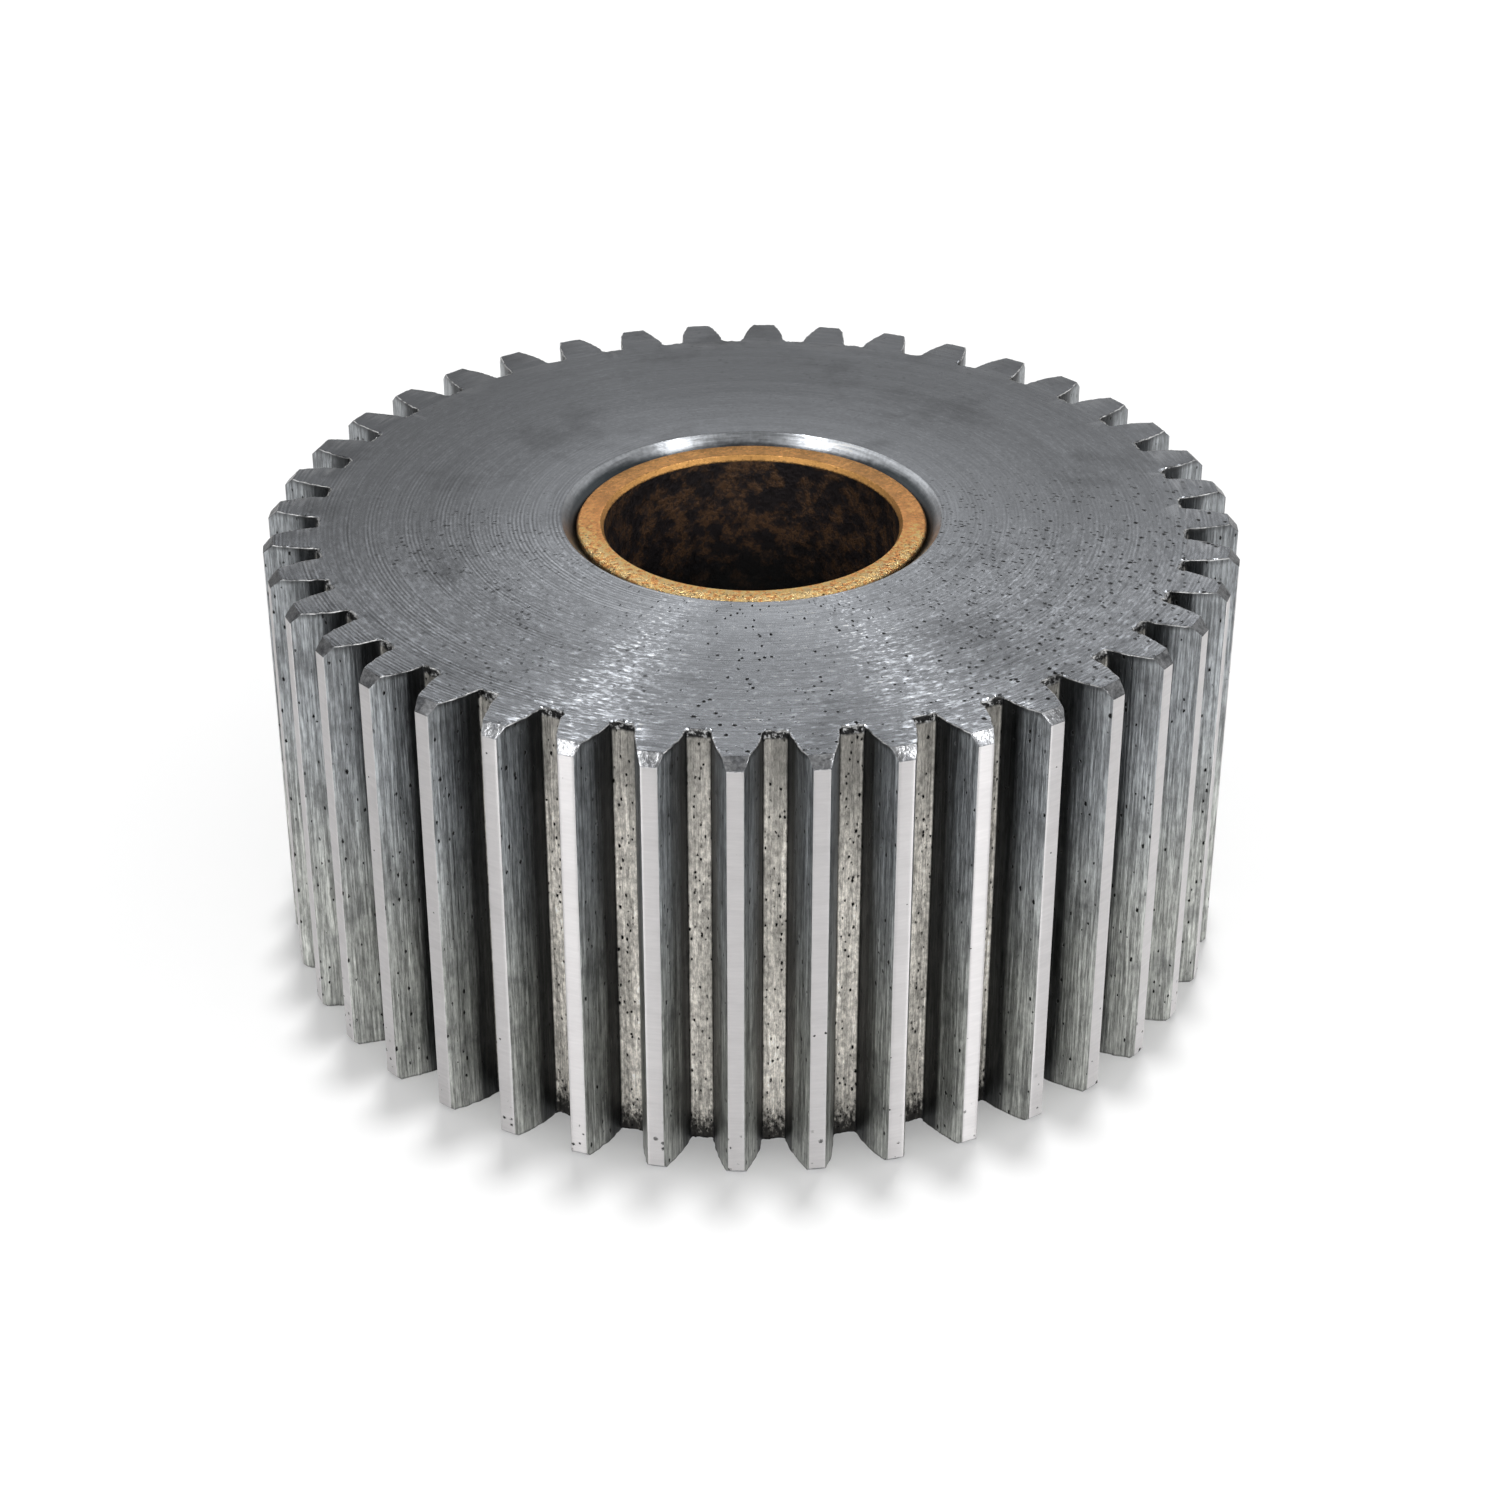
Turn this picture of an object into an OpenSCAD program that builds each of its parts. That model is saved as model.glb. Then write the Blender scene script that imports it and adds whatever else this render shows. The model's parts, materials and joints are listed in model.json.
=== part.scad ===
// Spur gear with a pressed-in plain bearing bush.
// The steel blank is turned and bored, then the gaps between the teeth are cut straight through it.
// Origin: centre of the lower face. The bore runs along +Z and one tooth is centred on -Y.

/* [Teeth] */
// Number of teeth
tooth_count = 40; // [30:1:60]
// Module: pitch diameter divided by the number of teeth
gear_module = 2.5; // [2:0.25:4]
// Pressure angle of the involute flanks, in degrees
pressure_angle = 20; // [14.5:0.5:22.5]
// Height of the tooth tips above the pitch circle
addendum = 2.5; // [1.5:0.1:3]
// Depth of the gap floors below the pitch circle
dedendum = 3.125; // [2.5:0.125:4]
// Backlash allowance: how much thinner each tooth is at the pitch circle
backlash_allowance = 0.25; // [0:0.05:0.5]
// Radius of the fillet between a flank and the gap floor
root_fillet = 0.35; // [0.1:0.05:0.5]

/* [Blank] */
// Width of the gear along its axis
face_width = 49; // [20:1:80]
// Chamfer round the tooth tips at the upper face
top_chamfer = 1.1; // [0.3:0.1:2]
// Chamfer round the tooth tips at the lower face
bottom_chamfer = 0.5; // [0.2:0.1:2]
// Chamfer at both ends of the bore, across its sloping face as seen from above
bore_chamfer = 1.6; // [0.5:0.1:2.5]

/* [Bush] */
// Diameter of the shaft hole through the bush
shaft_hole = 32; // [20:0.5:34]
// Outside diameter of the bush, which is also the bore that it is pressed into
bush_diameter = 38; // [36:0.5:50]
// Depth of each end of the bush below the gear's face
bush_recess = 0.9; // [0.3:0.1:2]
// Edge break round the outside of the bush's ends
bush_outer_break = 0.3; // [0.1:0.1:0.6]
// Width of the lead-in cone at the ends of the shaft hole, as seen from above
lead_in_width = 0.4; // [0.2:0.1:0.7]
// Depth of the lead-in cone along the shaft hole
lead_in_depth = 0.6; // [0.2:0.1:2]

/* [Hidden] */

// Straight pieces that stand for the curve of one flank
flank_steps = 9;
// Straight pieces that stand for one root fillet
fillet_steps = 4;
// Sides of the turned surfaces
round_sides = 240;
// How far the gap cutter runs past the blank
cutter_overrun = 1;

pitch_radius = gear_module * tooth_count / 2;
base_radius = pitch_radius * cos(pressure_angle);
tip_radius = pitch_radius + addendum;
root_radius = pitch_radius - dedendum;
cutter_radius = tip_radius + cutter_overrun;
bore_radius = bush_diameter / 2;
hole_radius = shaft_hole / 2;
bush_length = face_width - 2 * bush_recess;

// Half the angle of a gap at the base circle, in degrees
gap_angle_at_base = 90 / tooth_count - involute_turn(pressure_angle)
    + degrees_of(backlash_allowance / 2 / pitch_radius);

function degrees_of(radians) = radians * 180 / PI;

// How far an involute has turned where its pressure angle is a
function involute_turn(a) = degrees_of(tan(a)) - a;

// Pressure angle of the involute at radius r. Below the base circle the flank is radial.
function angle_at(r) = r > base_radius ? acos(base_radius / r) : 0;

// Half the angle of a gap at radius r
function gap_angle(r) = gap_angle_at_base + involute_turn(angle_at(r));

// The fillet's centre lies on the flank's parallel curve, root_fillet away from it.
// The parallel of an involute is the same involute turned by root_fillet / base_radius.
fillet_radius = root_radius + root_fillet;
fillet_angle = fillet_radius > base_radius
    ? gap_angle(fillet_radius) - degrees_of(root_fillet / base_radius)
    : gap_angle_at_base - asin(root_fillet / fillet_radius);
fillet_centre = from_gap_centre(fillet_radius, fillet_angle);

// Length of the line from the base circle to the fillet's centre, where it touches the circle
centre_reach = sqrt(max(0, pow(fillet_radius, 2) - pow(base_radius, 2)));
// Radius at which the fillet runs into the flank
flank_start = centre_reach > root_fillet
    ? norm([base_radius, centre_reach - root_fillet])
    : norm([fillet_radius, root_fillet]);

// A point at radius r, turned by a degrees from the middle of a gap on the +X axis
function from_gap_centre(r, a) = [r * cos(a), r * sin(a)];

// Direction from the fillet's centre to a point, in degrees
function bearing(p) = atan2(p[1] - fillet_centre[1], p[0] - fillet_centre[0]);

// The flank from the fillet out past the tips
flank_points = [
    for (i = [0:flank_steps])
        let (r = flank_start + (cutter_radius - flank_start) * i / flank_steps)
            from_gap_centre(r, gap_angle(r))
];

// The fillet from the gap floor to the flank
fillet_points = [
    for (i = [0:fillet_steps - 1])
        let (
            floor_bearing = 180 + fillet_angle,
            turn = bearing(flank_points[0]) - floor_bearing,
            a = floor_bearing + turn * i / fillet_steps
        )
            fillet_centre + root_fillet * [cos(a), sin(a)]
];

// The other half of an outline that is symmetric about the X axis
function mirrored(points) = [
    for (i = [len(points) - 1:-1:0])
        [points[i][0], -points[i][1]]
];

// What the cutter takes out between two teeth, seen along the axis, in the middle of a gap on +X.
// The floor between the fillets is an arc about the axis, so its middle point lies on the root circle.
module gap_outline() {
    half_gap = concat([[root_radius, 0]], fillet_points, flank_points);
    polygon(concat(half_gap, mirrored([for (i = [1:len(half_gap) - 1]) half_gap[i]])));
}

// The turned and bored blank, as a profile of radius and height
module blank() {
    rotate_extrude($fn = round_sides)
        polygon([
            [bore_radius, bore_chamfer],
            [bore_radius + bore_chamfer, 0],
            [tip_radius - bottom_chamfer, 0],
            [tip_radius, bottom_chamfer],
            [tip_radius, face_width - top_chamfer],
            [tip_radius - top_chamfer, face_width],
            [bore_radius + bore_chamfer, face_width],
            [bore_radius, face_width - bore_chamfer]
        ]);
}

// The steel gear: the blank with its gaps cut
module spur_gear() {
    color("slategray")
        difference() {
            blank();
            for (i = [0:tooth_count - 1])
                rotate([0, 0, -90 + (i + 0.5) * 360 / tooth_count])
                    translate([0, 0, -cutter_overrun])
                        linear_extrude(height = face_width + 2 * cutter_overrun)
                            gap_outline();
        }
}

// One end of the bush as a profile from its outside to the shaft hole, with its face at height 0
bush_end = [
    [bore_radius, bush_outer_break],
    [bore_radius - bush_outer_break, 0],
    [hole_radius + lead_in_width, 0],
    [hole_radius, lead_in_depth]
];

// The same end turned over, from the shaft hole to the outside, with its face at the bush's length
bush_far_end = [
    for (i = [len(bush_end) - 1:-1:0])
        [bush_end[i][0], bush_length - bush_end[i][1]]
];

// The sintered bronze bush, line to line with the bore that it is pressed into
module bronze_bush() {
    color("peru")
        translate([0, 0, bush_recess])
            rotate_extrude($fn = round_sides)
                polygon(concat(bush_end, bush_far_end));
}

spur_gear();
bronze_bush();
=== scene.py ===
import json
import math
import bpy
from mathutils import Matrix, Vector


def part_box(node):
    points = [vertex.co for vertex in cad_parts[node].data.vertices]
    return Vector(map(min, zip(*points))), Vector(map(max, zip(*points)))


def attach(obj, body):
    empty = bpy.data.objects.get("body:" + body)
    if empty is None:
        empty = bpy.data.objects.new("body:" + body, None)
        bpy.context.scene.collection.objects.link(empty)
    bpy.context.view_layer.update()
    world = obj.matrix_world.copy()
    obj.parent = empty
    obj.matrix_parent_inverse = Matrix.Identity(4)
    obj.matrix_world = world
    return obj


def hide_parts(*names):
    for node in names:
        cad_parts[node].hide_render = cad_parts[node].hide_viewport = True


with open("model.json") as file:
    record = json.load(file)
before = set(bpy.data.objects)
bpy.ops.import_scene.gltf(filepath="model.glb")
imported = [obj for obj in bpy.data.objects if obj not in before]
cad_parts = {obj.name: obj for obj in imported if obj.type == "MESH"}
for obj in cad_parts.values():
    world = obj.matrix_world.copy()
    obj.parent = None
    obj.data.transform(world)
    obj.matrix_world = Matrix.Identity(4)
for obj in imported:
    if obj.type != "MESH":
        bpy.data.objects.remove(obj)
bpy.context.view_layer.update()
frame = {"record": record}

from types import SimpleNamespace

import bmesh
import bpy
from mathutils import Vector

# a spur gear and the bronze bush pressed into it, dressed over the CAD solids; sizes are in mm unless noted
mm = 0.001
gearLow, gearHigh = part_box("spur_gear")
bushLow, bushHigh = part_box("bronze_bush")
mounts = {mount["name"]: mount for mount in frame["record"]["mounts"]}


def addObject(name, data):
    item = bpy.data.objects.new(name, data)
    bpy.context.scene.collection.objects.link(item)
    return item


def emptyTree(owner):
    # the node tree of a material or a world, cleared
    owner.use_nodes = True
    owner.node_tree.nodes.clear()
    return owner.node_tree


def addNode(tree, kind, inputs=None, **settings):
    # one node, its settings, and its inputs given as values or as sockets to link
    node = tree.nodes.new(kind)
    for name, value in settings.items():
        setattr(node, name, value)
    for key, value in (inputs or {}).items():
        socket = node.inputs[key]
        if isinstance(value, bpy.types.NodeSocket):
            tree.links.new(value, socket)
        elif socket.type == "RGBA":
            socket.default_value = (*value, 1.0)    # colours are written as red, green and blue
        else:
            socket.default_value = value
    return node


def maths(tree, operation, a, b=0.0, c=0.0, clamp=False):
    node = addNode(tree, "ShaderNodeMath", {0: a, 1: b, 2: c}, operation=operation, use_clamp=clamp)
    return node.outputs[0]


def times(tree, first, *others):
    for other in others:
        first = maths(tree, "MULTIPLY", first, other)
    return first


def plus(tree, first, *others):
    for other in others:
        first = maths(tree, "ADD", first, other)
    return first


def minus(tree, a, b):
    return maths(tree, "SUBTRACT", a, b)


def timesPlus(tree, a, b, c):
    # a times b, plus c
    return maths(tree, "MULTIPLY_ADD", a, b, c)


def faded(tree, factor, strength):
    # a factor that is drawn towards 1 where its strength is low
    return timesPlus(tree, minus(tree, factor, 1.0), strength, 1.0)


def vectorMaths(tree, operation, a, b=(0.0, 0.0, 0.0)):
    node = addNode(tree, "ShaderNodeVectorMath", {0: a, 1: b}, operation=operation)
    return node.outputs["Value" if operation == "LENGTH" else "Vector"]


def vectorScale(tree, vector, *factors):
    for factor in factors:
        node = addNode(tree, "ShaderNodeVectorMath", {0: vector, "Scale": factor}, operation="SCALE")
        vector = node.outputs["Vector"]
    return vector


def combine(tree, x=0.0, y=0.0, z=0.0):
    return addNode(tree, "ShaderNodeCombineXYZ", {0: x, 1: y, 2: z}).outputs[0]


def axes(tree, vector):
    # the vector's x, y and z
    return list(addNode(tree, "ShaderNodeSeparateXYZ", {0: vector}).outputs)


def channels(tree, colour):
    # the colour's red, green and blue
    return list(addNode(tree, "ShaderNodeSeparateColor", {0: colour}).outputs)


def noise(tree, vector, scale, detail=2.0, roughness=0.5):
    values = {"Vector": vector, "Scale": scale, "Detail": detail, "Roughness": roughness}
    return addNode(tree, "ShaderNodeTexNoise", values).outputs["Fac"]


def remap(tree, value, low, high, toLow=0.0, toHigh=1.0, kind="SMOOTHSTEP"):
    # from one range to another, with soft ends
    values = {0: value, 1: low, 2: high, 3: toLow, 4: toHigh}
    return addNode(tree, "ShaderNodeMapRange", values, interpolation_type=kind).outputs[0]


def slope(tree, value, low, high, toLow, toHigh):
    # from one range to another, in a straight line
    return remap(tree, value, low, high, toLow, toHigh, "LINEAR")


def mixColour(tree, factor, a, b):
    return addNode(tree, "ShaderNodeMix", {0: factor, 6: a, 7: b}, data_type="RGBA").outputs[2]


def layered(tree, colour, *layers):
    # each layer is a mask and the colour that covers the others where the mask is 1
    for mask, cover in layers:
        colour = mixColour(tree, mask, colour, cover)
    return colour


def grey(value, blue=0.0):
    # a grey, or a slightly blue one
    return value * (1 - blue), value, value * (1 + blue)


def makeGroup(name, kind, inputs, outputs):
    # a node group with named sockets: (name, type, default) for each input
    tree = bpy.data.node_groups.new(name, kind)
    for label, socketType, default in inputs:
        socket = tree.interface.new_socket(label, in_out="INPUT", socket_type=socketType)
        if default is not None:
            socket.default_value = default
    for label, socketType in outputs:
        tree.interface.new_socket(label, in_out="OUTPUT", socket_type=socketType)
    return tree, tree.nodes.new("NodeGroupInput").outputs, tree.nodes.new("NodeGroupOutput").inputs


def groupNode(tree, group, inputs):
    return addNode(tree, "ShaderNodeGroup", inputs, node_tree=group).outputs


view = {
    "lens": 74.957,         # on a sensor 36 mm wide
    "distance": 338.9,      # mm, from the middle of the upper face
    "elevation": 26.448,    # degrees above the upper face
    "azimuth": 1.681,       # degrees round the axis from the tooth on -Y
    "pitch": 30.802,        # degrees that the camera looks down
    "yaw": 0.033,
}


def placeCamera():
    data = bpy.data.cameras.new("camera")
    data.lens = view["lens"]
    data.clip_start = 0.01
    camera = addObject("camera", data)
    elevation, azimuth = math.radians(view["elevation"]), math.radians(view["azimuth"])
    reach = view["distance"] * mm
    camera.location = Vector((
        reach * math.cos(elevation) * math.sin(azimuth),
        -reach * math.cos(elevation) * math.cos(azimuth),
        gearHigh.z + reach * math.sin(elevation),
    ))
    turn = math.radians(view["azimuth"] + view["yaw"])
    camera.rotation_euler = (math.radians(90 - view["pitch"]), 0, turn)
    bpy.context.scene.camera = camera
    print(f"camera: {view['distance']} mm from the upper face, looking down {view['pitch']} degrees")


studio = {
    "floorSize": 6.0,           # m
    "floorColour": 0.72,
    "floorGlow": 0.2,           # white that the floor adds where it is seen
    "room": [                   # height of the gaze, then brightness to the left, right, front and back
        (0.05, 0.08, 0.08, 2.4, 0.08),
        (0.2, 0.08, 1.76, 2.4, 0.84),
        (0.4, 2.06, 2.4, 2.0, 0.4),
        (0.65, 0.59, 0.59, 0.59, 0.59),
        (0.95, 0.18, 0.18, 0.18, 0.18),
    ],
    "topDirection": (0.02, 0.165, 0.98),
    "topStrength": 1.77,
    "topAngle": 6.5,            # degrees across
    "softboxes": {              # direction, distance and size in m, power in W
        "keyLeft": ((-0.468, -0.468, 0.75), 0.2, 0.035, 0.096),
        "keyRight": ((0.575, -0.328, 0.75), 0.5, 0.09, 0.58),
    },
}


def makeFloor():
    material = bpy.data.materials.new("studioFloor")
    tree = emptyTree(material)
    path = addNode(tree, "ShaderNodeLightPath").outputs
    seen = maths(tree, "MAXIMUM", path["Is Camera Ray"], path["Is Glossy Ray"])
    seen = maths(tree, "MAXIMUM", seen, path["Is Transmission Ray"])
    strength = times(tree, seen, studio["floorGlow"])
    glow = addNode(tree, "ShaderNodeEmission", {"Color": grey(1.0), "Strength": strength}).outputs[0]
    lit = addNode(tree, "ShaderNodeBsdfDiffuse", {"Color": grey(studio["floorColour"])}).outputs[0]
    both = addNode(tree, "ShaderNodeAddShader", {0: lit, 1: glow}).outputs[0]
    # from below the floor is clear, so that the gear's underside shows too
    under = addNode(tree, "ShaderNodeNewGeometry").outputs["Backfacing"]
    clear = addNode(tree, "ShaderNodeBsdfTransparent").outputs[0]
    shown = addNode(tree, "ShaderNodeMixShader", {0: under, 1: both, 2: clear}).outputs[0]
    addNode(tree, "ShaderNodeOutputMaterial", {"Surface": shown})
    half = studio["floorSize"] / 2
    corners = [(x, y, gearLow.z) for x, y in ((-half, -half), (half, -half), (half, half), (-half, half))]
    mesh = bpy.data.meshes.new("floor")
    mesh.from_pydata(corners, [], [(0, 1, 2, 3)])
    mesh.materials.append(material)
    floor = addObject("floor", mesh)


def makeWorld():
    # a room whose brightness changes with the height and the side of the gaze
    world = bpy.data.worlds.new("studio")
    bpy.context.scene.world = world
    tree = emptyTree(world)
    x, y, z = axes(tree, addNode(tree, "ShaderNodeTexCoord").outputs["Generated"])
    ramp = addNode(tree, "ShaderNodeValToRGB", {0: z})
    stops = ramp.color_ramp.elements
    most = max(max(row[1:]) for row in studio["room"])
    for i, (height, *levels) in enumerate(studio["room"]):
        stop = stops[i] if i < 2 else stops.new(height)
        stop.position = height
        stop.color = [level / most for level in levels]
    left, right, front = channels(tree, ramp.outputs[0])
    back = ramp.outputs[1]
    across, along = times(tree, x, x), times(tree, y, y)
    flat = plus(tree, across, along, 1e-6)    # never quite 0, because it divides
    strength = 0.0
    for side, share, axis, test in (
        (left, across, x, "LESS_THAN"), (right, across, x, "GREATER_THAN"),
        (front, along, y, "LESS_THAN"), (back, along, y, "GREATER_THAN"),
    ):
        part = times(tree, maths(tree, "DIVIDE", share, flat), maths(tree, test, axis, 0.0))
        strength = timesPlus(tree, part, side, strength)
    strength = times(tree, strength, most)
    path = addNode(tree, "ShaderNodeLightPath").outputs
    shown = maths(tree, "MAXIMUM", path["Is Camera Ray"], path["Is Transmission Ray"])
    strength = maths(tree, "MAXIMUM", strength, shown)
    background = addNode(tree, "ShaderNodeBackground", {"Color": grey(1.0), "Strength": strength}).outputs[0]
    addNode(tree, "ShaderNodeOutputWorld", {"Surface": background})


def makeSoftbox(name, direction, distance, size, power):
    # the softboxes make the gloss on bare metal, and the top light and the room light the rest
    data = bpy.data.lights.new(name, "AREA")
    data.shape = "DISK"
    data.size = size
    data.energy = power
    lamp = addObject(name, data)
    aim = Vector((0, 0, gearHigh.z))
    lamp.location = aim + Vector(direction).normalized() * distance
    lamp.rotation_euler = (aim - lamp.location).to_track_quat("-Z", "Y").to_euler()
    lamp.visible_diffuse = False
    lamp.visible_camera = False


def makeTopLight():
    data = bpy.data.lights.new("topLight", "SUN")
    data.energy = studio["topStrength"]
    data.angle = math.radians(studio["topAngle"])
    lamp = addObject("topLight", data)
    lamp.rotation_euler = Vector(studio["topDirection"]).to_track_quat("Z", "Y").to_euler()
    lamp.visible_glossy = False    # it shapes the shadow on the floor, and bare metal doesn't show it


def makeStudio():
    makeFloor()
    makeWorld()
    makeTopLight()
    for name, values in studio["softboxes"].items():
        makeSoftbox(name, *values)
    bpy.context.scene.view_settings.view_transform = "Standard"
    print("studio: floor, room, two softboxes and a top light")


def makeTurnedGrain():
    # fine rings left by a turning tool: Across runs over the rings, Around along them
    marks = ("Rings", "Scratches", "Flecks", "Grit", "Bands")
    tree, given, result = makeGroup("turnedGrain", "ShaderNodeTree", [
        ("Across", "NodeSocketFloat", 0.0),
        ("Around", "NodeSocketVector", None),
        ("Pitch", "NodeSocketFloat", 0.43),
    ], [(name, "NodeSocketFloat") for name in marks])
    across = given["Across"]
    around = axes(tree, given["Around"])[:2]

    def streak(acrossScale, aroundScale, detail, roughness=0.5):
        places = [times(tree, across, acrossScale)] + [times(tree, axis, aroundScale) for axis in around]
        return noise(tree, combine(tree, *places), 1.0, detail, roughness)

    drift = times(tree, streak(0.12, 1.6, 1.0), 1.4)
    turns = plus(tree, maths(tree, "DIVIDE", across, given["Pitch"]), drift)
    wave = maths(tree, "SINE", times(tree, turns, 2 * math.pi))
    loudness = remap(tree, streak(0.5, 1.1, 2.0), 0.36, 0.66)
    rings = timesPlus(tree, times(tree, wave, loudness), 0.5, 0.5)
    values = (
        rings, streak(3.4, 3.0, 3.0, 0.65), streak(1.8, 15.0, 3.0, 0.65),
        streak(2.7, 38.0, 2.0, 0.6), streak(0.55, 0.8, 3.0, 0.6),
    )
    for name, value in zip(marks, values):
        tree.links.new(value, result[name])
    return tree


def makePits():
    # small dark pits: one may sit in each cell, of its own size and raggedness
    tree, given, result = makeGroup("pits", "ShaderNodeTree", [
        ("Position", "NodeSocketVector", None),
        ("Cell", "NodeSocketFloat", 1.0),
        ("Cover", "NodeSocketFloat", 0.5),
        ("Size", "NodeSocketFloat", 0.3),
    ], [("Mask", "NodeSocketFloat")])
    position, size = given["Position"], given["Size"]
    scale = maths(tree, "DIVIDE", 1.0, given["Cell"])
    cells = addNode(tree, "ShaderNodeTexVoronoi", {"Vector": position, "Scale": scale}).outputs
    chance, girth = channels(tree, cells["Color"])[:2]
    there = maths(tree, "LESS_THAN", chance, given["Cover"])
    ragged = minus(tree, noise(tree, position, times(tree, scale, 6.0), 2.0, 0.6), 0.5)
    reach = plus(tree, cells["Distance"], times(tree, ragged, times(tree, size, 1.3)))
    rim = times(tree, size, timesPlus(tree, girth, 0.55, 0.45))
    inside = remap(tree, reach, rim, times(tree, rim, 0.55))
    tree.links.new(times(tree, inside, there), result["Mask"])
    return tree


def makeCutStreaks():
    # streaks along the axis left by the gear cutter
    tree, given, result = makeGroup("cutStreaks", "ShaderNodeTree", [
        ("Position", "NodeSocketVector", None),
        ("Stretch", "NodeSocketFloat", 0.03),
    ], [("Fine", "NodeSocketFloat"), ("Coarse", "NodeSocketFloat")])
    x, y, z = axes(tree, given["Position"])
    place = combine(tree, x, y, times(tree, z, given["Stretch"]))
    tree.links.new(noise(tree, place, 4.2, 3.0, 0.7), result["Fine"])
    tree.links.new(noise(tree, place, 0.8, 4.0, 0.65), result["Coarse"])
    return tree


def makeGrime():
    # soft dark patches of oil and dirt
    tree, given, result = makeGroup("grime", "ShaderNodeTree", [
        ("Position", "NodeSocketVector", None),
        ("Spread", "NodeSocketFloat", 8.0),
        ("Cover", "NodeSocketFloat", 0.5),
    ], [("Mask", "NodeSocketFloat")])
    patches = noise(tree, given["Position"], maths(tree, "DIVIDE", 1.0, given["Spread"]), 5.0, 0.62)
    edge = minus(tree, 0.72, times(tree, given["Cover"], 0.4))
    tree.links.new(remap(tree, patches, edge, plus(tree, edge, 0.2)), result["Mask"])
    return tree


def makeEdgeWearAndHighlight():
    # broken bright line along a cut edge: partly metal rubbed bare, partly a painted highlight
    tree, given, result = makeGroup("edgeWearAndHighlight", "ShaderNodeTree", [
        ("Edge", "NodeSocketFloat", 0.0),
        ("Position", "NodeSocketVector", None),
    ], [("Mask", "NodeSocketFloat")])
    broken = remap(tree, noise(tree, given["Position"], 0.9, 4.0, 0.7), 0.38, 0.6, 0.15, 1.0)
    mask = maths(tree, "MULTIPLY", remap(tree, given["Edge"], 0.2, 0.8), broken, clamp=True)
    tree.links.new(mask, result["Mask"])
    return tree


turnedGrain = makeTurnedGrain()
pits = makePits()
cutStreaks = makeCutStreaks()
grime = makeGrime()
edgeWearAndHighlight = makeEdgeWearAndHighlight()


def pitMask(tree, position, cell, cover, size):
    return groupNode(tree, pits, {"Position": position, "Cell": cell, "Cover": cover, "Size": size})[0]


def grimeMask(tree, position, spread, cover):
    return groupNode(tree, grime, {"Position": position, "Spread": spread, "Cover": cover})[0]


def attribute(tree, name):
    return addNode(tree, "ShaderNodeAttribute", attribute_name=name).outputs["Fac"]


def bareEdgeAndHighlight(tree, position):
    return groupNode(tree, edgeWearAndHighlight, {"Edge": attribute(tree, "edge"), "Position": position})[0]


def lengthwise(tree, position, share):
    # makes a pattern longer along the axis
    return vectorMaths(tree, "MULTIPLY", position, (1.0, 1.0, share))


def scored(tree, streaks, darkest):
    # thin dark scores where the streaks cross one value
    away = maths(tree, "ABSOLUTE", minus(tree, streaks, 0.47))
    return remap(tree, away, 0.0, 0.022, darkest, 1.04)


def startMaterial(name, metallic=1.0, brushed=0.0):
    # a material with a Principled shader, and the place on the piece in millimetres
    material = bpy.data.materials.new(name)
    tree = emptyTree(material)
    shader = addNode(tree, "ShaderNodeBsdfPrincipled", {"Metallic": metallic})
    addNode(tree, "ShaderNodeOutputMaterial", {"Surface": shader.outputs[0]})
    position = vectorScale(tree, addNode(tree, "ShaderNodeTexCoord").outputs["Object"], 1 / mm)
    x, y, height = axes(tree, position)
    flat = combine(tree, x, y)
    radius, outward = vectorMaths(tree, "LENGTH", flat), vectorMaths(tree, "NORMALIZE", flat)
    if brushed:
        # the tool marks run round the axis, and the gloss stretches across them
        tangent = vectorMaths(tree, "CROSS_PRODUCT", (0.0, 0.0, 1.0), position)
        tree.links.new(vectorMaths(tree, "NORMALIZE", tangent), shader.inputs["Tangent"])
        shader.inputs["Anisotropic"].default_value = brushed
        shader.inputs["Anisotropic Rotation"].default_value = 0.25
    place = SimpleNamespace(position=position, x=x, y=y, height=height, radius=radius, outward=outward)
    return material, tree, shader, place


def finish(tree, shader, colour, roughness, relief, depth):
    # depth is how deep the relief is, in mm
    normal = addNode(tree, "ShaderNodeBump", {"Height": relief, "Distance": depth * mm, "Strength": 1.0})
    tree.links.new(colour, shader.inputs["Base Color"])
    tree.links.new(roughness, shader.inputs["Roughness"])
    tree.links.new(normal.outputs[0], shader.inputs["Normal"])


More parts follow.
